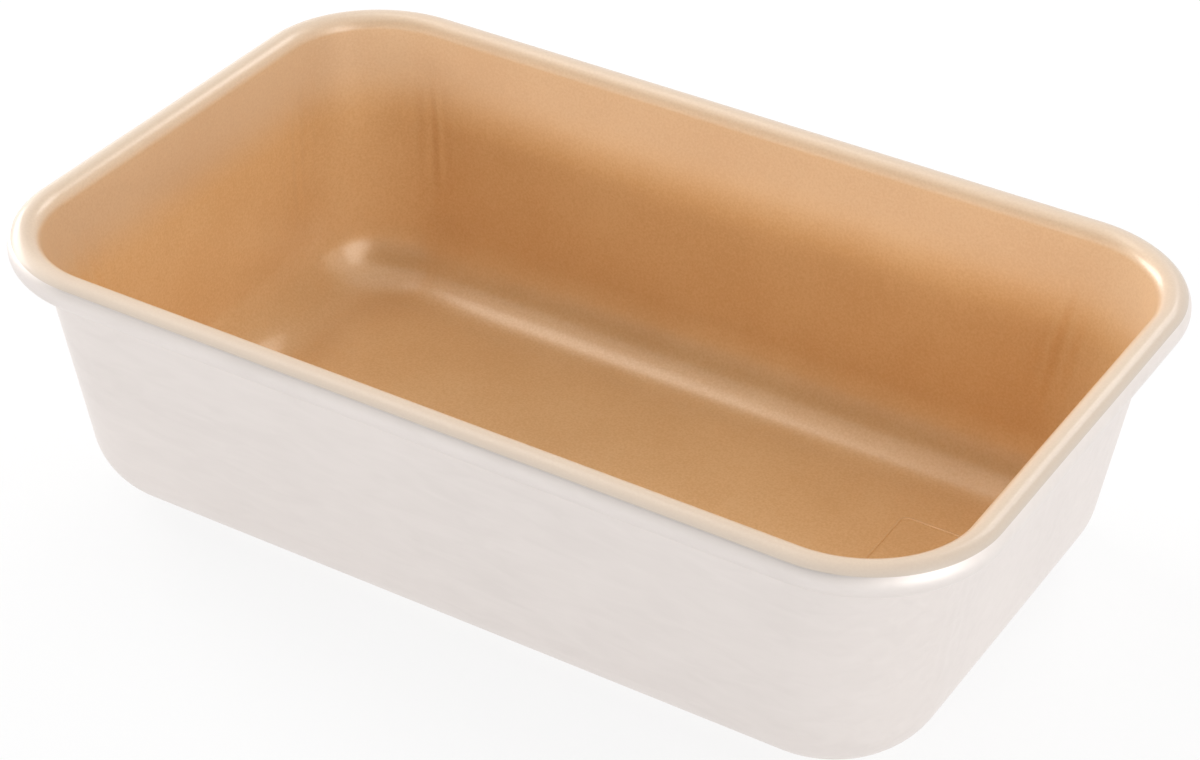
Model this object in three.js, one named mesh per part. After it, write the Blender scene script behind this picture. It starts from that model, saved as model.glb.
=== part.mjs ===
// A loaf pan: one drawn aluminium sheet, its rim rolled round a steel wire, with a coat of non-stick inside.
// Millimetres, +Z up. The origin is the middle of the underside, X runs along the pan and Y across it.
import * as THREE from "three";
import { mergeVertices } from "three/addons/utils/BufferGeometryUtils.js";

// Sizes of the pan
const rimLength = 254; // over the rolled rim
const rimWidth = 160; // over the rolled rim
const panHeight = 72.5; // from the underside to the top of the rim
const rimCornerRadius = 33.6; // outside of the rim, seen from above
const draftAngle = THREE.MathUtils.degToRad(7); // how far the walls lean out
const floorFilletRadius = 17.5; // inside, where the floor turns up into the walls
const floorCornerRadius = 9; // corners of the flat floor, seen from above
const sheetThickness = 1;

// Sizes of the rolled rim
const wireDiameter = 5.6;
const wireClearance = 0.2; // between the wire and the sheet rolled round it
const wireJointGap = 0.8; // between the two butted ends of the wire
const curlEdgeGap = 0.4; // between the raw edge of the curl and the wall

// Sizes of the coat
const coatThickness = 0.04;
const coatEndAngle = THREE.MathUtils.degToRad(40); // where the coat ends on the rim, up from its outermost line

// Fineness of the facets
const cornerSteps = 10; // for each quarter turn seen from above
const filletSteps = 8;
const curlStep = THREE.MathUtils.degToRad(15); // about one facet of the curl
const wireSides = 12;

// The rim is a round bead in section: the wire, its clearance and one sheet.
const beadRadius = wireDiameter / 2 + wireClearance + sheetThickness;
const beadHeight = panHeight - beadRadius;
const beadOutermost = 0; // angles round the bead's middle
const beadTop = Math.PI / 2;

// The wall runs straight from the bead to the floor fillet and touches both, at these angles round their middles.
const wallAngleOnBead = Math.PI - draftAngle;
const wallAngleOnFillet = Math.PI / 2 - draftAngle;
const filletHeight = sheetThickness + floorFilletRadius;
const wallRise = beadHeight + beadRadius * Math.sin(draftAngle)
  - filletHeight + floorFilletRadius * Math.sin(draftAngle);
const wallTopInset = beadRadius + beadRadius * Math.cos(draftAngle);
const wallFootInset = wallTopInset + wallRise * Math.tan(draftAngle);
const filletInset = wallFootInset + floorFilletRadius * Math.cos(draftAngle);

// The curl goes on round the wire until its raw edge comes this near to the wall again.
const curlEdgeReach = beadRadius - sheetThickness - curlEdgeGap;
const curlEndAngle = -Math.acos(-curlEdgeReach / beadRadius) - draftAngle;

// A level is one line round the pan: its inset from the rim's outermost line, its height and its corner radius.
function levelOnBead(radius, angle) {
  const inset = beadRadius - radius * Math.cos(angle);
  return { inset, height: beadHeight + radius * Math.sin(angle), corner: rimCornerRadius - inset };
}

function levelOnFillet(radius, angle) {
  const outward = radius * Math.sin(angle);
  return {
    inset: filletInset - outward,
    height: filletHeight - radius * Math.cos(angle),
    corner: floorCornerRadius + outward,
  };
}

// Levels on a round stretch of the section, from one angle to another, both ends included.
function sweep(levelAt, radius, from, to, steps) {
  return Array.from({ length: steps + 1 }, (_, step) => levelAt(radius, from + ((to - from) * step) / steps));
}

// Levels round the bead, with one at each of the stops.
function bead(radius, ...stops) {
  const levels = [levelOnBead(radius, stops[0])];
  for (let i = 0; i + 1 < stops.length; i += 1) {
    const steps = Math.max(1, Math.round(Math.abs(stops[i + 1] - stops[i]) / curlStep));
    levels.push(...sweep(levelOnBead, radius, stops[i], stops[i + 1], steps).slice(1));
  }
  return levels;
}

// The points of a level, counterclockwise from the middle of the right side: four round corners.
function outline({ inset, height, corner }) {
  const middleX = rimLength / 2 - inset - corner;
  const middleY = rimWidth / 2 - inset - corner;
  const points = [];
  for (let quarter = 0; quarter < 4; quarter += 1) {
    const sideX = quarter === 0 || quarter === 3 ? 1 : -1;
    const sideY = quarter < 2 ? 1 : -1;
    for (let step = 0; step <= cornerSteps; step += 1) {
      const angle = (Math.PI / 2) * (quarter + step / cornerSteps);
      const x = sideX * middleX + corner * Math.cos(angle);
      const y = sideY * middleY + corner * Math.sin(angle);
      points.push(new THREE.Vector3(x, y, height));
    }
  }
  return points;
}

// Triangles between rows of points. Rows that go outwards while their points run counterclockwise face up.
function loft(rows, { closedRows = true, facesDown = false } = {}) {
  const triangles = [];
  const count = rows[0].length;
  for (let row = 0; row + 1 < rows.length; row += 1) {
    for (let i = 0; i < (closedRows ? count : count - 1); i += 1) {
      const next = (i + 1) % count;
      const [near, nearNext] = [rows[row][i], rows[row][next]];
      const [far, farNext] = [rows[row + 1][i], rows[row + 1][next]];
      triangles.push([near, far, nearNext], [far, farNext, nearNext]);
    }
  }
  return facesDown ? turnedOver(triangles) : triangles;
}

// A flat lid on a row of points, facing up where they run counterclockwise.
function lid(row, { facesDown = false } = {}) {
  const middle = row.reduce((sum, point) => sum.add(point), new THREE.Vector3()).divideScalar(row.length);
  const triangles = row.map((point, i) => [middle, point, row[(i + 1) % row.length]]);
  return facesDown ? turnedOver(triangles) : triangles;
}

function turnedOver(triangles) {
  return triangles.map(([first, second, third]) => [first, third, second]);
}

function bodyMesh(name, triangles, material) {
  const soup = new THREE.BufferGeometry().setFromPoints(triangles.flat());
  const geometry = mergeVertices(soup, 1e-3);
  geometry.computeVertexNormals();
  const mesh = new THREE.Mesh(geometry, material);
  mesh.name = name;
  return mesh;
}

// The sheet's inner side as far as the coat covers it, raised off the sheet by `rise`.
function coatedLevels(rise) {
  return [
    ...sweep(levelOnFillet, floorFilletRadius - rise, 0, wallAngleOnFillet, filletSteps),
    ...bead(beadRadius + rise, wallAngleOnBead, beadTop, coatEndAngle),
  ];
}

// The whole sheet: up the inside, over the rim to the raw edge, back inside the curl and down the outside.
function makeShell() {
  const levels = [
    ...coatedLevels(0),
    ...bead(beadRadius, coatEndAngle, beadOutermost, curlEndAngle).slice(1),
    ...bead(beadRadius - sheetThickness, curlEndAngle, wallAngleOnBead),
    ...sweep(levelOnFillet, floorFilletRadius + sheetThickness, wallAngleOnFillet, 0, filletSteps),
  ];
  const rows = levels.map(outline);
  const triangles = [...lid(rows[0]), ...loft(rows), ...lid(rows.at(-1), { facesDown: true })];
  const aluminium = new THREE.MeshStandardMaterial({ color: "#d9d6d2", roughness: 0.42, metalness: 1 });
  return bodyMesh("pan_shell", triangles, aluminium);
}

// The coat lies on the sheet's own facets and is closed by a narrow band at its end on the rim.
function makeCoat() {
  const topRows = coatedLevels(coatThickness).map(outline);
  const sheetRows = coatedLevels(0).map(outline);
  const triangles = [
    ...lid(topRows[0]),
    ...loft(topRows),
    ...loft([topRows.at(-1), sheetRows.at(-1)]),
    ...loft(sheetRows, { facesDown: true }),
    ...lid(sheetRows[0], { facesDown: true }),
  ];
  const gold = new THREE.MeshStandardMaterial({ color: "#c99a66", roughness: 0.4, metalness: 0.8 });
  return bodyMesh("nonstick_coating", triangles, gold);
}

// One length of wire, bent round the rim's four corners, with its ends butted at the middle of the back.
function makeWire() {
  const wireRadius = wireDiameter / 2;
  const cornerPoints = cornerSteps + 1;
  const rows = sweep(levelOnBead, wireRadius, 2 * Math.PI, 0, wireSides).map((level) => {
    const points = outline(level);
    const start = new THREE.Vector3(-wireJointGap / 2, rimWidth / 2 - level.inset, level.height);
    const end = start.clone().setX(wireJointGap / 2);
    return [start, ...points.slice(cornerPoints), ...points.slice(0, cornerPoints), end];
  });
  const startDisc = rows.slice(1).map((row) => row[0]);
  const endDisc = rows.slice(1).map((row) => row.at(-1));
  const triangles = [
    ...loft(rows, { closedRows: false }),
    ...lid(startDisc, { facesDown: true }),
    ...lid(endDisc),
  ];
  const steel = new THREE.MeshStandardMaterial({ color: "#a3a6a8", roughness: 0.5, metalness: 1 });
  return bodyMesh("rim_wire", triangles, steel);
}

const loafPan = new THREE.Group();
loafPan.name = "loaf_pan";
loafPan.add(makeShell(), makeWire(), makeCoat());

export default loafPan;
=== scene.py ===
# A loaf pan: drawn aluminium with a rolled rim and a gold non-stick inside. Metres, in the pan's own frame.
import math
import bpy
from mathutils import Matrix, Vector


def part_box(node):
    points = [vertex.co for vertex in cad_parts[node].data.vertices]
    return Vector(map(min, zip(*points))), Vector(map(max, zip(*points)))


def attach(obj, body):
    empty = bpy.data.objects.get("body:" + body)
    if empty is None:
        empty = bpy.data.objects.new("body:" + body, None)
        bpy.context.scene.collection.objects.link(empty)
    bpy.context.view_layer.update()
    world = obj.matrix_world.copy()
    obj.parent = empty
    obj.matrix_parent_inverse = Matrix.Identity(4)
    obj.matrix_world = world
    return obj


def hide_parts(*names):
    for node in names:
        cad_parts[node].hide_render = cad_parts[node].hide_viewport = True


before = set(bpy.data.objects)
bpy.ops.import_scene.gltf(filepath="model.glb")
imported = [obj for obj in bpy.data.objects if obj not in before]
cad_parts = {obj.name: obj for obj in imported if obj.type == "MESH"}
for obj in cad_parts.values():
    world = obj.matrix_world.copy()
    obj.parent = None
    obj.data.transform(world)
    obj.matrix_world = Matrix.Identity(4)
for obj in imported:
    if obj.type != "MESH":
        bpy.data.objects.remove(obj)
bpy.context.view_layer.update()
scene = bpy.context.scene
mm = 0.001
print("frame loaded, nodes:", ", ".join(sorted(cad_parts)))


# Camera, fitted to the outlines of the pan in a picture of 1200 by 760
cameraSetup = {
    "imageWidth": 1200,
    "imageHeight": 760,
    "azimuth": math.radians(30.52),  # from straight in front, towards the pan's right end
    "elevation": math.radians(33.88),
    "roll": math.radians(1.43),
    "distance": 757.94 * mm,
    "targetHeight": 38.17 * mm,
    "focalPixels": 3182.9,
    "opticalCentre": (591.96, 373.55),  # pixels
    "sensorWidth": 36.0,  # mm
    "nearClip": 10 * mm,
}


def makeCamera(setup):
    azimuth, elevation, roll = setup["azimuth"], setup["elevation"], setup["roll"]
    backX = math.sin(azimuth) * math.cos(elevation)
    backY = -math.cos(azimuth) * math.cos(elevation)
    back = Vector((backX, backY, math.sin(elevation)))
    levelRight = back.cross(Vector((0, 0, -1))).normalized()
    levelUp = back.cross(levelRight)
    right = levelRight * math.cos(roll) + levelUp * math.sin(roll)
    up = levelUp * math.cos(roll) - levelRight * math.sin(roll)
    place = Vector((0, 0, setup["targetHeight"])) + back * setup["distance"]
    lens = bpy.data.cameras.new("photoCamera")
    lens.sensor_width = setup["sensorWidth"]
    lens.lens = setup["focalPixels"] * setup["sensorWidth"] / setup["imageWidth"]
    lens.shift_x = (setup["imageWidth"] / 2 - setup["opticalCentre"][0]) / setup["imageWidth"]
    lens.shift_y = (setup["opticalCentre"][1] - setup["imageHeight"] / 2) / setup["imageWidth"]
    lens.clip_start = setup["nearClip"]
    camera = bpy.data.objects.new("photoCamera", lens)
    camera.matrix_world = Matrix.Translation(place) @ Matrix((right, up, back)).transposed().to_4x4()
    scene.collection.objects.link(camera)
    scene.camera = camera


makeCamera(cameraSetup)
print("camera placed")


# Adds a node, gives it its settings, and links or sets its inputs, which go by name or by number.
def addNode(tree, kind, inputs=None, **settings):
    node = tree.nodes.new(kind)
    for setting, value in settings.items():
        setattr(node, setting, value)
    usable = [socket for socket in node.inputs if socket.enabled]
    for key, value in (inputs or {}).items():
        socket = usable[key] if isinstance(key, int) else next(s for s in usable if s.name == key)
        if isinstance(value, bpy.types.Node):
            value = next(output for output in value.outputs if output.enabled)
        if isinstance(value, bpy.types.NodeSocket):
            tree.links.new(value, socket)
        else:
            socket.default_value = value
    return node


# sRGB hex to linear
def linear(hexColour):
    channels = [int(hexColour[start:start + 2], 16) / 255 for start in (1, 3, 5)]
    return (*(c / 12.92 if c <= 0.04045 else ((c + 0.055) / 1.055) ** 2.4 for c in channels), 1.0)


def newMaterial(name):
    material = bpy.data.materials.new(name)
    material.use_nodes = True
    material.node_tree.nodes.clear()
    return material, material.node_tree


# Finishes

# Mill-finish aluminium sheet, drawn in a press: a bright satin metal, clouded, with faint streaks along it.
aluminiumSheet = {
    "sheet": "#ECE5E1",
    "sheetDull": "#E8E1DD",
    "overspray": "#D6C2AA",  # what little gold settles past the coat's edge
    "roughness": (0.52, 0.55),
    "sprayRoughness": 0.25,  # how much a full spray would add
    "sprayCover": 2.2,  # how fast the dust of the spray hides the metal
    "streakWidth": 3.5 * mm,
    "streakLength": 14 * mm,
    "streakTilt": (0.0, 0.15, 0.1),  # radians, so that the streaks run a little aslant
    "streakWarp": 0.8,
    "cloudSize": 30 * mm,
    "dullRange": (0.12, 0.4),  # of streaks times clouds, from bright to dull
    "satinRange": (0.3, 0.7),  # of the streaks, from smooth to rough
    "toothSize": 0.35 * mm,  # the sheet's own tooth is finer, drawn this coarse so that it shows
    "toothDepth": 0.004 * mm,
}


def makeAluminium(finish):
    material, tree = newMaterial("drawnAluminium")
    place = addNode(tree, "ShaderNodeTexCoord").outputs["Object"]
    stretch = (1 / finish["streakLength"], 1 / finish["streakWidth"], 1 / finish["streakWidth"])
    drawn = addNode(tree, "ShaderNodeMapping",
                    {"Vector": place, "Rotation": finish["streakTilt"], "Scale": stretch})
    streaks = addNode(tree, "ShaderNodeTexNoise",
                      {"Vector": drawn, "Scale": 1.0, "Detail": 4.0, "Distortion": finish["streakWarp"]})
    clouds = addNode(tree, "ShaderNodeTexNoise",
                     {"Vector": place, "Scale": 1 / finish["cloudSize"], "Detail": 3.0})
    tooth = addNode(tree, "ShaderNodeTexNoise",
                    {"Vector": place, "Scale": 1 / finish["toothSize"], "Detail": 2.0})
    mixed = addNode(tree, "ShaderNodeMath", {0: streaks, 1: clouds}, operation="MULTIPLY")
    dullFrom, dullTo = finish["dullRange"]
    dull = addNode(tree, "ShaderNodeMapRange", {"Value": mixed, "From Min": dullFrom, "From Max": dullTo})
    bare = addNode(tree, "ShaderNodeMix", {"Factor": dull, "A": linear(finish["sheet"]),
                                           "B": linear(finish["sheetDull"])}, data_type="RGBA")
    spray = addNode(tree, "ShaderNodeAttribute", attribute_name="spray").outputs["Fac"]
    tinted = addNode(tree, "ShaderNodeMix", {"Factor": spray, "A": bare, "B": linear(finish["overspray"])},
                     data_type="RGBA")
    satinFrom, satinTo = finish["satinRange"]
    smoothest, roughest = finish["roughness"]
    satin = addNode(tree, "ShaderNodeMapRange", {"Value": streaks, "From Min": satinFrom, "From Max": satinTo,
                                                 "To Min": smoothest, "To Max": roughest})
    rough = addNode(tree, "ShaderNodeMath", {0: spray, 1: finish["sprayRoughness"], 2: satin},
                    operation="MULTIPLY_ADD")
    metal = addNode(tree, "ShaderNodeMath", {0: spray, 1: -finish["sprayCover"], 2: 1.0},
                    operation="MULTIPLY_ADD")
    bump = addNode(tree, "ShaderNodeBump",
                   {"Strength": 1.0, "Distance": finish["toothDepth"], "Height": tooth})
    shader = addNode(tree, "ShaderNodeBsdfPrincipled",
                     {"Base Color": tinted, "Metallic": metal, "Roughness": rough, "Normal": bump})
    addNode(tree, "ShaderNodeOutputMaterial", {"Surface": shader})
    return material


# Gold-tinted non-stick, sprayed and baked: a satin gold film with metal flake in it and a fine even grain.
goldNonstick = {
    "gold": "#E8C08D",
    "goldDeep": "#DFB37E",
    "thinGoldAndPaintedLight": "#D1C8BF",  # where the spray thins out over the rim, and mixed in high on the walls as painted light
    "metallic": (0.25, 0.08),  # at the spray's edge, where the metal shows through, and further in
    "dust": (0.12, 0.3),  # sprays between which the metal stops showing
    "roughness": (0.9, 0.28),  # at the spray's edge and where it is full
    "fullSpray": 0.7,  # from here down it counts as thin
    "coatWeight": 0.5,  # the clear resin over the flake
    "coatRoughness": 0.2,
    "grainSize": 0.6 * mm,  # the flake is finer, drawn this coarse so that it shows
    "grainDepth": 0.012 * mm,
    "cloudSize": 22 * mm,
    "cloudShare": 0.35,  # of the clouds beside the grain
    "deepRange": (0.38, 0.62),  # of grain and clouds, from light to deep gold
}


def makeGold(finish):
    material, tree = newMaterial("goldNonstick")
    place = addNode(tree, "ShaderNodeTexCoord").outputs["Object"]
    grain = addNode(tree, "ShaderNodeTexNoise",
                    {"Vector": place, "Scale": 1 / finish["grainSize"], "Detail": 2.0})
    clouds = addNode(tree, "ShaderNodeTexNoise",
                     {"Vector": place, "Scale": 1 / finish["cloudSize"], "Detail": 3.0})
    mixed = addNode(tree, "ShaderNodeMix", {"Factor": finish["cloudShare"], "A": grain, "B": clouds},
                    data_type="FLOAT")
    deepFrom, deepTo = finish["deepRange"]
    deep = addNode(tree, "ShaderNodeMapRange", {"Value": mixed, "From Min": deepFrom, "From Max": deepTo})
    grained = addNode(tree, "ShaderNodeMix", {"Factor": deep, "A": linear(finish["gold"]),
                                              "B": linear(finish["goldDeep"])}, data_type="RGBA")
    # The spray attribute pales the gold towards the thin colour: real thinning over the rim, and painted
    # light high on the walls
    spray = addNode(tree, "ShaderNodeAttribute", attribute_name="spray").outputs["Fac"]
    faded = addNode(tree, "ShaderNodeMix", {"Factor": spray, "A": linear(finish["thinGoldAndPaintedLight"]), "B": grained},
                    data_type="RGBA")
    dustEnd, dustStart = finish["dust"]
    bareMetal, film = finish["metallic"]
    metal = addNode(tree, "ShaderNodeMapRange", {"Value": spray, "From Min": dustEnd, "From Max": dustStart,
                                                 "To Min": bareMetal, "To Max": film})
    thin, full = finish["roughness"]
    rough = addNode(tree, "ShaderNodeMapRange",
                    {"Value": spray, "From Max": finish["fullSpray"], "To Min": thin, "To Max": full})
    bump = addNode(tree, "ShaderNodeBump",
                   {"Strength": 1.0, "Distance": finish["grainDepth"], "Height": grain})
    shader = addNode(tree, "ShaderNodeBsdfPrincipled", {
        "Base Color": faded, "Metallic": metal, "Roughness": rough, "Normal": bump,
        "Coat Weight": finish["coatWeight"], "Coat Roughness": finish["coatRoughness"],
    })
    addNode(tree, "ShaderNodeOutputMaterial", {"Surface": shader})
    return material


# Galvanised steel wire, dipped in zinc: dull grey with the pale and dark patches of zinc crystals.
galvanisedSteel = {
    "zinc": "#A9ADAF",
    "zincDark": "#8D9193",
    "roughness": 0.5,
    "spangleSize": 2.5 * mm,
}


def makeGalvanised(finish):
    material, tree = newMaterial("galvanisedSteel")
    place = addNode(tree, "ShaderNodeTexCoord").outputs["Object"]
    spangle = addNode(tree, "ShaderNodeTexVoronoi", {"Vector": place, "Scale": 1 / finish["spangleSize"]})
    shade = addNode(tree, "ShaderNodeMix", {"Factor": spangle.outputs["Color"], "A": linear(finish["zinc"]),
                                            "B": linear(finish["zincDark"])}, data_type="RGBA")
    shader = addNode(tree, "ShaderNodeBsdfPrincipled", {"Base Color": shade, "Metallic": 1.0,
                                                        "Roughness": finish["roughness"]})
    addNode(tree, "ShaderNodeOutputMaterial", {"Surface": shader})
    return material


aluminium = makeAluminium(aluminiumSheet)
gold = makeGold(goldNonstick)
galvanised = makeGalvanised(galvanisedSteel)
print("finishes made")


# Runs a Geometry Nodes tree on a mesh, with its inputs set by socket identifier, and keeps the plain result.
def bakeNodes(name, mesh, tree, values):
    piece = bpy.data.objects.new(name, mesh)
    scene.collection.objects.link(piece)
    modifier = piece.modifiers.new(tree.name, "NODES")
    modifier.node_group = tree
    for socket in tree.interface.items_tree:
        if socket.name in values:
            modifier[socket.identifier] = values[socket.name]
    graph = bpy.context.evaluated_depsgraph_get()
    finished = bpy.data.meshes.new_from_object(piece.evaluated_get(graph), preserve_all_data_layers=True,
                                               depsgraph=graph)
    piece.modifiers.clear()
    piece.data = finished
    finished.name = name
    return piece


def newTree(name, sockets):
    tree = bpy.data.node_groups.new(name, "GeometryNodeTree")
    tree.interface.new_socket("Geometry", in_out="INPUT", socket_type="NodeSocketGeometry")
    for socketName, kind in sockets.items():
        tree.interface.new_socket(socketName, in_out="INPUT", socket_type="NodeSocket" + kind)
    tree.interface.new_socket("Geometry", in_out="OUTPUT", socket_type="NodeSocketGeometry")
    return tree, addNode(tree, "NodeGroupInput").outputs


# Ends a tree: smooth faces with the sharp edges kept, real geometry and one material.
def endTree(tree, geometry, material, sharpAngle):
    smooth = addNode(tree, "GeometryNodeSetShadeSmooth", {"Geometry": geometry, "Shade Smooth": True})
    angle = addNode(tree, "GeometryNodeInputMeshEdgeAngle")
    sharp = addNode(tree, "FunctionNodeCompare", {"A": angle, "B": sharpAngle}, operation="GREATER_THAN")
    edged = addNode(tree, "GeometryNodeSetShadeSmooth", {"Geometry": smooth, "Selection": sharp,
                                                         "Shade Smooth": False}, domain="EDGE")
    real = addNode(tree, "GeometryNodeRealizeInstances", {"Geometry": edged})
    painted = addNode(tree, "GeometryNodeSetMaterial", {"Geometry": real, "Material": material})
    addNode(tree, "NodeGroupOutput", {"Geometry": painted})


# Pan: the shell and its coat are both a section carried round a rectangle with round corners.
_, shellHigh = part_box("pan_shell")
wireLow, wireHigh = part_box("rim_wire")
coatLow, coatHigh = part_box("nonstick_coating")

pan = {
    "halfLength": shellHigh.x,
    "halfWidth": shellHigh.y,
    "sheet": coatLow.z,  # the coat starts on the floor, one sheet up
    "coat": coatHigh.z - shellHigh.z,
    "beadRadius": shellHigh.z - (wireHigh.z + wireLow.z) / 2,
    "beadHeight": (wireHigh.z + wireLow.z) / 2,
    "wireRadius": (wireHigh.z - wireLow.z) / 2,
    "rimCorner": 33.6 * mm,
    "floorCorner": 9 * mm,
    "floorFillet": 17.5 * mm,
    "draft": math.radians(7),
    "curlEdgeGap": 0.4 * mm,
    "coatEnd": math.radians(40),  # on the bead, up from its outermost line
    "sprayThinsAndPaintedLight": (46 * mm, 60 * mm),  # heights on the wall between which the coat starts to thin; the paler band above is partly painted light, for the brighter light high on the walls
    "sprayAtRimAndPaintedLight": 0.72,  # where the wall meets the bead; it also sets how pale the painted light band high on the walls is
    "sprayAtEnd": 0.12,  # at the coat's edge
    "oversprayEnd": 0.0,  # angle on the bead where the last dust ends, its outermost line
    "cornerSteps": 44,
    "sideCuts": 56,
    "beadStep": math.radians(6),
    "curlStep": math.radians(12),
    "filletSteps": 24,
    "wallSteps": 12,
    "floorSteps": 8,
    "sharpAngle": math.radians(40),
    "mergeWithin": 0.002 * mm,
    "stray": 0.12 * mm,  # how far the drawn walls wander from true
    "strayRange": 55 * mm,  # about one swing of it
    "rippleDepth": 0.15 * mm,  # draw marks in the walls where they turn into the corners
    "rippleSpacing": 4.5 * mm,
    "rippleReach": 13 * mm,
    "rippleDrift": 10.0,  # radians, how unevenly they lie
    "rippleHeights": (22 * mm, 62 * mm),
    "rippleFade": 12 * mm,
    "rippleOutside": 0.3,  # the outer side shows this share of it
    "thinning": 0.8,  # under 1, the spray thins slowly from the wall and then fast to its edge
}


# A level is a line round the pan: its inset from the rim's outermost line, its corner radius, its height,
# its spray (high on the walls partly painted light) and the depth of its draw marks.
def levelOnBead(radius, angle):
    inset = pan["beadRadius"] - radius * math.cos(angle)
    if angle >= pan["coatEnd"]:
        share = (angle - pan["coatEnd"]) / (math.pi - pan["draft"] - pan["coatEnd"])
        spray = pan["sprayAtEnd"] + (pan["sprayAtRimAndPaintedLight"] - pan["sprayAtEnd"]) * min(share, 1) ** pan["thinning"]
    else:
        share = (angle - pan["oversprayEnd"]) / (pan["coatEnd"] - pan["oversprayEnd"])
        spray = pan["sprayAtEnd"] * max(share, 0)
    return inset, pan["rimCorner"] - inset, pan["beadHeight"] + radius * math.sin(angle), spray, 0


def levelOnFillet(radius, angle):
    draft, fillet = pan["draft"], pan["floorFillet"]
    filletHeight = pan["sheet"] + fillet
    rise = pan["beadHeight"] + pan["beadRadius"] * math.sin(draft) - filletHeight + fillet * math.sin(draft)
    wallTop = pan["beadRadius"] * (1 + math.cos(draft))
    filletInset = wallTop + rise * math.tan(draft) + fillet * math.cos(draft)
    outward = radius * math.sin(angle)
    return filletInset - outward, pan["floorCorner"] + outward, filletHeight - radius * math.cos(angle), 0, 0


def between(first, last, steps):
    return [[a + (b - a) * step / steps for a, b in zip(first, last)] for step in range(1, steps)]


def floorLevels(edge):
    middle = (pan["halfWidth"], 0, *edge[2:])
    return [middle, *between(middle, edge, pan["floorSteps"])]


def beadLevels(radius, start, end, stepAngle):
    steps = max(1, math.ceil(abs(end - start) / stepAngle))
    return [levelOnBead(radius, start + (end - start) * step / steps) for step in range(steps + 1)]


def smooth(value, low, high):
    share = min(max((value - low) / (high - low), 0), 1)
    return share * share * (3 - 2 * share)


# What changes with height: the spray thins up the wall into a paler band that is partly painted light, only
# walls have draw marks, and the floor stays true.
def sprayAndPaintedLightAt(height):
    return 1 - (1 - pan["sprayAtRimAndPaintedLight"]) * smooth(height, *pan["sprayThinsAndPaintedLight"])


def rippleAt(height):
    low, high = pan["rippleHeights"]
    fade = pan["rippleFade"]
    return pan["rippleDepth"] * smooth(height, low, low + fade) * (1 - smooth(height, high - fade, high))


def strayAt(height):
    floor = pan["sheet"] + pan["coat"]
    return pan["stray"] * smooth(height, floor, floor + pan["floorFillet"])


# From the middle of the floor up the fillet and the wall to where the wall meets the bead.
def wallLevels(filletRadius, beadRadius, coated=False, rippled=1):
    steps = pan["filletSteps"]
    top = math.pi / 2 - pan["draft"]
    fillet = [levelOnFillet(filletRadius, top * step / steps) for step in range(steps + 1)]
    wallTop = levelOnBead(beadRadius, math.pi - pan["draft"])
    levels = [*floorLevels(fillet[0]), *fillet, *between(fillet[-1], wallTop, pan["wallSteps"])]
    return [
        (*level[:3], sprayAndPaintedLightAt(level[2]) if coated else 0, rippleAt(level[2]) * rippled) for level in levels
    ]


def shellSection():
    fillet, bead, sheet = pan["floorFillet"], pan["beadRadius"], pan["sheet"]
    wallAngle = math.pi - pan["draft"]
    edgeReach = bead - sheet - pan["curlEdgeGap"]
    curlEnd = -math.acos(-edgeReach / bead) - pan["draft"]
    inside = wallLevels(fillet, bead)
    over = [(*level[:3], 0, 0) for level in beadLevels(bead, wallAngle, pan["coatEnd"], pan["beadStep"])]
    curl = beadLevels(bead, pan["coatEnd"], curlEnd, pan["beadStep"])
    back = [(*level[:3], 0, 0) for level in beadLevels(bead - sheet, curlEnd, wallAngle, pan["curlStep"])]
    outside = wallLevels(fillet + sheet, bead - sheet, rippled=pan["rippleOutside"])[::-1]
    return [*inside, *over, *curl[1:], *back, *outside]


def coatSection():
    fillet, bead, coat = pan["floorFillet"], pan["beadRadius"], pan["coat"]
    wallAngle = math.pi - pan["draft"]
    top = wallLevels(fillet - coat, bead + coat, coated=True)
    over = beadLevels(bead + coat, wallAngle, pan["coatEnd"], pan["beadStep"])
    under = beadLevels(bead, pan["coatEnd"], wallAngle, pan["beadStep"])
    return [*top, *over, *under, *wallLevels(fillet, bead, coated=True)[::-1]]


# A section is a line of points that hold (inset, corner radius, height), with the rest as attributes.
def sectionMesh(name, levels):
    mesh = bpy.data.meshes.new(name)
    mesh.from_pydata([level[:3] for level in levels], [(i, i + 1) for i in range(len(levels) - 1)], [])
    fields = {
        "spray": [level[3] for level in levels],
        "ripple": [level[4] for level in levels],
        "stray": [strayAt(level[2]) for level in levels],
    }
    for field, values in fields.items():
        mesh.attributes.new(field, "FLOAT", "POINT").data.foreach_set("value", values)
    return mesh


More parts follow.
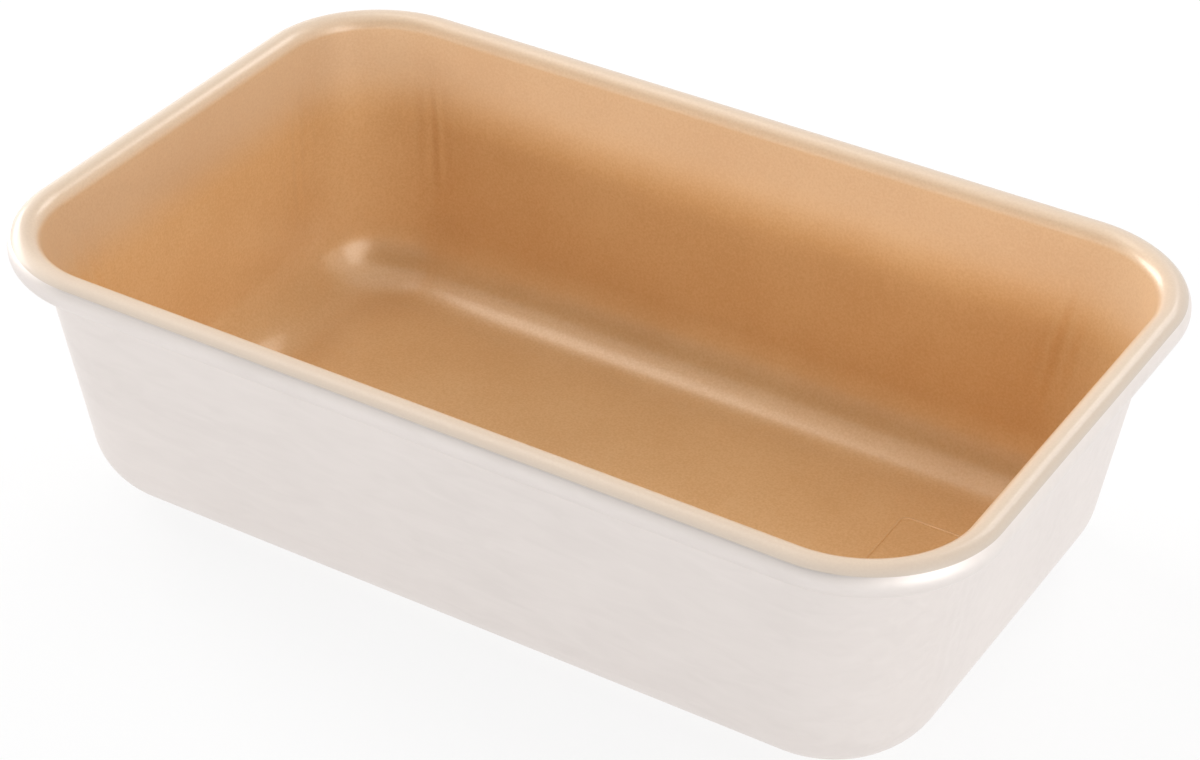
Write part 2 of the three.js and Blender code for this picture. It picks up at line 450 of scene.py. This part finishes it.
def makePanLoft():
    tree, inputs = newTree("panLoft", {
        "Half Length": "Float", "Half Width": "Float", "Corner Steps": "Int", "Side Cuts": "Int",
        "Stray Waves": "Float", "Ripple Waves": "Float", "Ripple Reach": "Float", "Ripple Drift": "Float",
        "Sharp Angle": "Float", "Material": "Material",
    })
    section = inputs["Geometry"]

    # Guide ring: a square of side 4 with corners of radius 1, finer along its straight sides
    square = addNode(tree, "GeometryNodeCurvePrimitiveQuadrilateral", {"Width": 4.0, "Height": 4.0})
    ring = addNode(tree, "GeometryNodeFilletCurve",
                   {"Curve": square, "Radius": 1.0, "Count": inputs["Corner Steps"]}, mode="POLY")
    position = addNode(tree, "GeometryNodeInputPosition")
    nextPoint = addNode(tree, "GeometryNodeOffsetPointInCurve", {"Offset": 1}).outputs["Point Index"]
    nextPlace = addNode(tree, "GeometryNodeFieldAtIndex", {"Value": position, "Index": nextPoint},
                        data_type="FLOAT_VECTOR")
    gap = addNode(tree, "ShaderNodeVectorMath", {0: position, 1: nextPlace}, operation="DISTANCE")
    straight = addNode(tree, "FunctionNodeCompare", {"A": gap.outputs["Value"], "B": 1.0},
                       operation="GREATER_THAN")
    cuts = addNode(tree, "GeometryNodeSwitch", {"Switch": straight, "True": inputs["Side Cuts"]},
                   input_type="INT")
    guide = addNode(tree, "GeometryNodeSubdivideCurve", {"Curve": ring, "Cuts": cuts})

    # Grid: one row of points for each level of the section, one column for each point of the guide
    columns = addNode(tree, "GeometryNodeAttributeDomainSize", {"Geometry": guide}, component="CURVE")
    rows = addNode(tree, "GeometryNodeAttributeDomainSize", {"Geometry": section}, component="MESH")
    closing = addNode(tree, "FunctionNodeIntegerMath", {0: columns, 1: 1}, operation="ADD")
    grid = addNode(tree, "GeometryNodeMeshGrid", {"Vertices X": closing, "Vertices Y": rows})
    index = addNode(tree, "GeometryNodeInputIndex")
    row = addNode(tree, "FunctionNodeIntegerMath", {0: index, 1: rows}, operation="MODULO")
    along = addNode(tree, "FunctionNodeIntegerMath", {0: index, 1: rows}, operation="DIVIDE_FLOOR")
    column = addNode(tree, "FunctionNodeIntegerMath", {0: along, 1: columns}, operation="MODULO")
    onGuide = addNode(tree, "GeometryNodeSampleIndex",
                      {"Geometry": guide, "Value": position, "Index": column}, data_type="FLOAT_VECTOR")
    level = addNode(tree, "GeometryNodeSampleIndex", {"Geometry": section, "Value": position, "Index": row},
                    data_type="FLOAT_VECTOR")
    inset, corner, height = addNode(tree, "ShaderNodeSeparateXYZ", {"Vector": level}).outputs
    fields = {}
    for field in ("spray", "ripple", "stray"):
        named = addNode(tree, "GeometryNodeInputNamedAttribute", {"Name": field})
        fields[field] = addNode(tree, "GeometryNodeSampleIndex",
                                {"Geometry": section, "Value": named, "Index": row})

    # Side runs from -1 to 1 between the corners, drawn together towards them; outward is the unit way out
    lowest = addNode(tree, "ShaderNodeVectorMath", {0: onGuide, 1: (1.0, 1.0, 0.0)}, operation="MINIMUM")
    side = addNode(tree, "ShaderNodeVectorMath", {0: lowest, 1: (-1.0, -1.0, 0.0)}, operation="MAXIMUM")
    outward = addNode(tree, "ShaderNodeVectorMath", {0: onGuide, 1: side}, operation="SUBTRACT")
    quarter = addNode(tree, "ShaderNodeVectorMath", {0: side, "Scale": math.pi / 2}, operation="SCALE")
    spread = addNode(tree, "ShaderNodeVectorMath", {0: quarter}, operation="SINE")
    reach = addNode(tree, "ShaderNodeMath", {0: inset, 1: corner}, operation="ADD")
    rimHalves = addNode(tree, "ShaderNodeCombineXYZ", {"X": inputs["Half Length"], "Y": inputs["Half Width"]})
    reachBoth = addNode(tree, "ShaderNodeCombineXYZ", {"X": reach, "Y": reach})
    halves = addNode(tree, "ShaderNodeVectorMath", {0: rimHalves, 1: reachBoth}, operation="SUBTRACT")
    centre = addNode(tree, "ShaderNodeVectorMath", {0: spread, 1: halves}, operation="MULTIPLY")
    roundPart = addNode(tree, "ShaderNodeVectorMath", {0: outward, "Scale": corner}, operation="SCALE")
    raised = addNode(tree, "ShaderNodeCombineXYZ", {"Z": height})
    flatPlace = addNode(tree, "ShaderNodeVectorMath", {0: centre, 1: roundPart}, operation="ADD")
    truePlace = addNode(tree, "ShaderNodeVectorMath", {0: flatPlace, 1: raised}, operation="ADD")

    # Draw marks: ripples that die away on both sides of a corner's ends
    alongSide = addNode(tree, "ShaderNodeVectorMath", {0: spread}, operation="ABSOLUTE")
    short = addNode(tree, "ShaderNodeVectorMath", {0: (1.0, 1.0, 0.0), 1: alongSide}, operation="SUBTRACT")
    shortOfEnd = addNode(tree, "ShaderNodeVectorMath", {0: short, 1: halves}, operation="DOT_PRODUCT")
    onSide = shortOfEnd.outputs["Value"]
    steep = addNode(tree, "ShaderNodeVectorMath", {0: outward}, operation="ABSOLUTE")
    steepX, steepY, _ = addNode(tree, "ShaderNodeSeparateXYZ", {"Vector": steep}).outputs
    lesser = addNode(tree, "ShaderNodeMath", {0: steepX, 1: steepY}, operation="MINIMUM")
    turned = addNode(tree, "ShaderNodeMath", {0: lesser}, operation="ARCSINE")
    onCorner = addNode(tree, "ShaderNodeMath", {0: turned, 1: corner}, operation="MULTIPLY")
    fromEnd = addNode(tree, "ShaderNodeMath", {0: onSide, 1: onCorner}, operation="SUBTRACT")
    noise = addNode(tree, "ShaderNodeTexNoise",
                    {"Vector": truePlace, "Scale": inputs["Stray Waves"], "Detail": 1.0})
    drift = addNode(tree, "ShaderNodeMath", {0: noise, 1: inputs["Ripple Drift"]}, operation="MULTIPLY")
    phase = addNode(tree, "ShaderNodeMath", {0: fromEnd, 1: inputs["Ripple Waves"], 2: drift},
                    operation="MULTIPLY_ADD")
    wave = addNode(tree, "ShaderNodeMath", {0: phase}, operation="SINE")
    away = addNode(tree, "ShaderNodeMath", {0: fromEnd}, operation="ABSOLUTE")
    deep = addNode(tree, "ShaderNodeMapRange", {
        "Value": away, "From Max": inputs["Ripple Reach"], "To Min": fields["ripple"], "To Max": 0.0,
    }, interpolation_type="SMOOTHSTEP")
    ripple = addNode(tree, "ShaderNodeMath", {0: wave, 1: deep}, operation="MULTIPLY")

    # The walls wander from true, in and out by as much
    strayIn = addNode(tree, "ShaderNodeMath", {0: fields["stray"], 1: -1.0}, operation="MULTIPLY")
    wander = addNode(tree, "ShaderNodeMapRange",
                     {"Value": noise, "To Min": strayIn, "To Max": fields["stray"]})
    off = addNode(tree, "ShaderNodeMath", {0: ripple, 1: wander}, operation="ADD")
    stray = addNode(tree, "ShaderNodeVectorMath", {0: outward, "Scale": off}, operation="SCALE")
    place = addNode(tree, "ShaderNodeVectorMath", {0: truePlace, 1: stray}, operation="ADD")

    placed = addNode(tree, "GeometryNodeSetPosition", {"Geometry": grid, "Position": place})
    kept = addNode(tree, "GeometryNodeStoreNamedAttribute",
                   {"Geometry": placed, "Name": "spray", "Value": fields["spray"]})
    merged = addNode(tree, "GeometryNodeMergeByDistance", {"Geometry": kept, "Distance": pan["mergeWithin"]})
    outwards = addNode(tree, "GeometryNodeFlipFaces", {"Mesh": merged})
    endTree(tree, outwards, inputs["Material"], inputs["Sharp Angle"])
    return tree


panLoft = makePanLoft()


def makePanPiece(name, levels, material):
    return bakeNodes(name, sectionMesh(name, levels), panLoft, {
        "Half Length": pan["halfLength"], "Half Width": pan["halfWidth"], "Corner Steps": pan["cornerSteps"],
        "Side Cuts": pan["sideCuts"], "Stray Waves": 1 / pan["strayRange"],
        "Ripple Waves": 2 * math.pi / pan["rippleSpacing"], "Ripple Reach": pan["rippleReach"],
        "Ripple Drift": pan["rippleDrift"], "Sharp Angle": pan["sharpAngle"], "Material": material,
    })


panShell = makePanPiece("panShell", shellSection(), aluminium)
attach(panShell, "root")
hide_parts("pan_shell")
nonstickCoat = makePanPiece("nonstickCoat", coatSection(), gold)
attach(nonstickCoat, "root")
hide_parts("nonstick_coating")
print("shell and coat made:", len(panShell.data.polygons), "and", len(nonstickCoat.data.polygons), "faces")


# Rod bent round a rectangle with round corners, open at the middle of its far side if it has a joint gap
def makeBentRod():
    tree, inputs = newTree("bentRod", {
        "Length": "Float", "Width": "Float", "Corner Radius": "Float", "Corner Steps": "Int",
        "Rod Radius": "Float", "Rod Sides": "Int", "Flatten": "Float", "Joint Gap": "Float",
        "Centre": "Vector", "Sharp Angle": "Float", "Material": "Material",
    })
    frameLine = addNode(tree, "GeometryNodeCurvePrimitiveQuadrilateral",
                        {"Width": inputs["Length"], "Height": inputs["Width"]})
    rounded = addNode(tree, "GeometryNodeFilletCurve", {"Curve": frameLine, "Radius": inputs["Corner Radius"],
                                                        "Count": inputs["Corner Steps"]}, mode="POLY")
    halved = addNode(tree, "GeometryNodeSubdivideCurve", {"Curve": rounded, "Cuts": 1})
    edges = addNode(tree, "GeometryNodeCurveToMesh", {"Curve": halved})
    position = addNode(tree, "GeometryNodeInputPosition")
    x, y, _ = addNode(tree, "ShaderNodeSeparateXYZ", {"Vector": position}).outputs
    gapped = addNode(tree, "ShaderNodeMath", {0: inputs["Joint Gap"], 1: 0.0}, operation="GREATER_THAN")
    offMiddle = addNode(tree, "ShaderNodeMath", {0: x}, operation="ABSOLUTE")
    nearMiddle = 0.01 * mm  # a point this near counts as the middle one
    middle = addNode(tree, "ShaderNodeMath", {0: offMiddle, 1: nearMiddle}, operation="LESS_THAN")
    far = addNode(tree, "ShaderNodeMath", {0: y, 1: 0.0}, operation="GREATER_THAN")
    farMiddle = addNode(tree, "ShaderNodeMath", {0: middle, 1: far}, operation="MULTIPLY")
    joint = addNode(tree, "ShaderNodeMath", {0: farMiddle, 1: gapped}, operation="MULTIPLY")
    opened = addNode(tree, "GeometryNodeDeleteGeometry", {"Geometry": edges, "Selection": joint})
    path = addNode(tree, "GeometryNodeMeshToCurve", {"Mesh": opened})
    ends = addNode(tree, "GeometryNodeCurveEndpointSelection")
    looseEnds = addNode(tree, "ShaderNodeMath", {0: ends, 1: gapped}, operation="MULTIPLY")
    halfGap = addNode(tree, "ShaderNodeMath", {0: inputs["Joint Gap"], 1: 0.5}, operation="MULTIPLY")
    sideOfGap = addNode(tree, "ShaderNodeMath", {0: x}, operation="SIGN")
    endX = addNode(tree, "ShaderNodeMath", {0: halfGap, 1: sideOfGap}, operation="MULTIPLY")
    endPlace = addNode(tree, "ShaderNodeCombineXYZ", {"X": endX, "Y": y})
    drawn = addNode(tree, "GeometryNodeSetPosition",
                    {"Geometry": path, "Selection": looseEnds, "Position": endPlace})
    profile = addNode(tree, "GeometryNodeCurvePrimitiveCircle", {"Resolution": inputs["Rod Sides"],
                                                                 "Radius": inputs["Rod Radius"]})
    rod = addNode(tree, "GeometryNodeCurveToMesh",
                  {"Curve": drawn, "Profile Curve": profile, "Fill Caps": True})
    flat = addNode(tree, "ShaderNodeCombineXYZ", {"X": 1.0, "Y": 1.0, "Z": inputs["Flatten"]})
    placed = addNode(tree, "GeometryNodeTransform",
                     {"Geometry": rod, "Translation": inputs["Centre"], "Scale": flat})
    endTree(tree, placed, inputs["Material"], inputs["Sharp Angle"])
    return tree


bentRod = makeBentRod()

rimWireSizes = {
    "Length": 2 * (pan["halfLength"] - pan["beadRadius"]),
    "Width": 2 * (pan["halfWidth"] - pan["beadRadius"]),
    "Corner Radius": pan["rimCorner"] - pan["beadRadius"],
    "Corner Steps": 24,
    "Rod Radius": pan["wireRadius"],
    "Rod Sides": 24,
    "Flatten": 1.0,
    "Joint Gap": 0.8 * mm,
    "Centre": (0.0, 0.0, pan["beadHeight"]),
    "Sharp Angle": pan["sharpAngle"],
    "Material": galvanised,
}
rimWire = bakeNodes("rimWire", bpy.data.meshes.new("rimWire"), bentRod, rimWireSizes)
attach(rimWire, "root")
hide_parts("rim_wire")
print("rim wire made:", len(rimWire.data.polygons), "faces")

# A plain raised line pressed up in the floor, in the shape of a small frame
floorFrameSizes = {
    "Length": 24 * mm,
    "Width": 72 * mm,
    "Corner Radius": 2.5 * mm,
    "Corner Steps": 10,
    "Rod Radius": 0.35 * mm,
    "Rod Sides": 16,
    "Flatten": 0.4,
    "Joint Gap": 0.0,
    "Centre": (80 * mm, 0.0, pan["sheet"] + pan["coat"]),
    "Sharp Angle": pan["sharpAngle"],
    "Material": gold,
}
floorFrame = bakeNodes("floorFrame", bpy.data.meshes.new("floorFrame"), bentRod, floorFrameSizes)
spray = floorFrame.data.attributes.new("spray", "FLOAT", "POINT")
spray.data.foreach_set("value", [1.0] * len(floorFrame.data.vertices))
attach(floorFrame, "root")
print("floor frame made:", len(floorFrame.data.polygons), "faces")


# Studio: a white floor in a white room, soft lights, and a flag on the camera's side that darkens upwards
studio = {
    "floorRadius": 6.0,
    "floorSides": 96,
    "floorColour": "#F6F6F6",
    "floorWhite": 0.8,  # how much of the floor's white is its own, for what looks at it
    "roomStrength": 0.68,
    "flagLow": (1.2, 0.30),  # distance and height of the flag's lower edge
    "flagHigh": (0.40, 1.10),
    "flagWidth": 2.4,
    "flagAzimuth": math.radians(10),
    "flagPale": "#E8E8E8",  # at the lower edge
    "flagDark": "#484848",
    "flagDarkHeight": 0.85,  # dark from here up
}

# All aim at the pan; a mirrored one also shows in the metal and the coat. Metres and watts.
softboxes = {
    "overhead": {"place": (-0.52, 0.27, 1.10), "size": (0.65, 0.30), "power": 1.5, "mirrored": True},
    "left": {"place": (-1.2, 0.20, 0.48), "size": (0.9, 0.5), "power": 9.5, "mirrored": True},
    "right": {"place": (1.15, -0.35, 0.55), "size": (0.7, 1.4), "power": 7.4, "mirrored": True},
    "back": {"place": (0.1, 0.95, 0.85), "size": (0.5, 0.4), "power": 3.0, "mirrored": True},
    "front": {"place": (-0.25, -1.3, 0.272), "size": (1.4, 0.12), "power": 8.8, "mirrored": False},
}


# One where a ray comes from the camera, off a glossy surface or through glass.
def lookingRay(tree):
    rays = addNode(tree, "ShaderNodeLightPath").outputs
    first = addNode(tree, "ShaderNodeMath", {0: rays["Is Camera Ray"], 1: rays["Is Glossy Ray"]},
                    operation="MAXIMUM")
    return addNode(tree, "ShaderNodeMath", {0: first, 1: rays["Is Transmission Ray"]}, operation="MAXIMUM")


def makeFloor(setup):
    material, tree = newMaterial("whiteFloor")
    matt = addNode(tree, "ShaderNodeBsdfDiffuse", {"Color": linear(setup["floorColour"])})
    white = addNode(tree, "ShaderNodeEmission", {"Strength": 1.0})
    share = addNode(tree, "ShaderNodeMath", {0: lookingRay(tree), 1: setup["floorWhite"]},
                    operation="MULTIPLY")
    mixed = addNode(tree, "ShaderNodeMixShader", {0: share, 1: matt, 2: white})
    addNode(tree, "ShaderNodeOutputMaterial", {"Surface": mixed})
    bpy.ops.mesh.primitive_circle_add(vertices=setup["floorSides"], radius=setup["floorRadius"],
                                      fill_type="NGON")
    floor = bpy.context.object
    floor.name = "studioFloor"
    floor.data.materials.append(material)


def makeFlag(setup):
    material, tree = newMaterial("darkFlag")
    place = addNode(tree, "ShaderNodeTexCoord").outputs["Object"]
    height = addNode(tree, "ShaderNodeSeparateXYZ", {"Vector": place}).outputs["Z"]
    darker = addNode(tree, "ShaderNodeMapRange", {"Value": height, "From Min": setup["flagLow"][1],
                                                  "From Max": setup["flagDarkHeight"]})
    shade = addNode(tree, "ShaderNodeMix", {"Factor": darker, "A": linear(setup["flagPale"]),
                                            "B": linear(setup["flagDark"])}, data_type="RGBA")
    glow = addNode(tree, "ShaderNodeEmission", {"Color": shade})
    addNode(tree, "ShaderNodeOutputMaterial", {"Surface": glow})
    azimuth = setup["flagAzimuth"]
    away = Vector((math.sin(azimuth), -math.cos(azimuth), 0))
    sideways = Vector((math.cos(azimuth), math.sin(azimuth), 0)) * setup["flagWidth"] / 2
    low, high = [away * distance + Vector((0, 0, rise))
                 for distance, rise in (setup["flagLow"], setup["flagHigh"])]
    corners = [low - sideways, low + sideways, high + sideways, high - sideways]
    mesh = bpy.data.meshes.new("darkFlag")
    mesh.from_pydata(corners, [], [(0, 1, 2, 3)])
    mesh.materials.append(material)
    flag = bpy.data.objects.new("darkFlag", mesh)
    scene.collection.objects.link(flag)
    flag.visible_camera = False


def makeSoftbox(name, box):
    lamp = bpy.data.lights.new(name, "AREA")
    lamp.shape = "RECTANGLE"
    lamp.size, lamp.size_y = box["size"]
    lamp.energy = box["power"]
    softbox = bpy.data.objects.new(name, lamp)
    place = Vector(box["place"])
    softbox.matrix_world = Matrix.Translation(place) @ place.to_track_quat("Z", "Y").to_matrix().to_4x4()
    scene.collection.objects.link(softbox)
    softbox.visible_camera = False
    softbox.visible_glossy = box["mirrored"]


def makeRoom(setup):
    world = bpy.data.worlds.new("whiteRoom")
    scene.world = world
    world.use_nodes = True
    tree = world.node_tree
    tree.nodes.clear()
    dim = addNode(tree, "ShaderNodeBackground", {"Color": (1, 1, 1, 1), "Strength": setup["roomStrength"]})
    white = addNode(tree, "ShaderNodeBackground", {"Color": (1, 1, 1, 1), "Strength": 1.0})
    mixed = addNode(tree, "ShaderNodeMixShader", {0: lookingRay(tree), 1: dim, 2: white})
    addNode(tree, "ShaderNodeOutputWorld", {"Surface": mixed})


makeFloor(studio)
makeFlag(studio)
for boxName, box in softboxes.items():
    makeSoftbox(boxName, box)
makeRoom(studio)
scene.view_settings.view_transform = "Standard"
print("studio made")
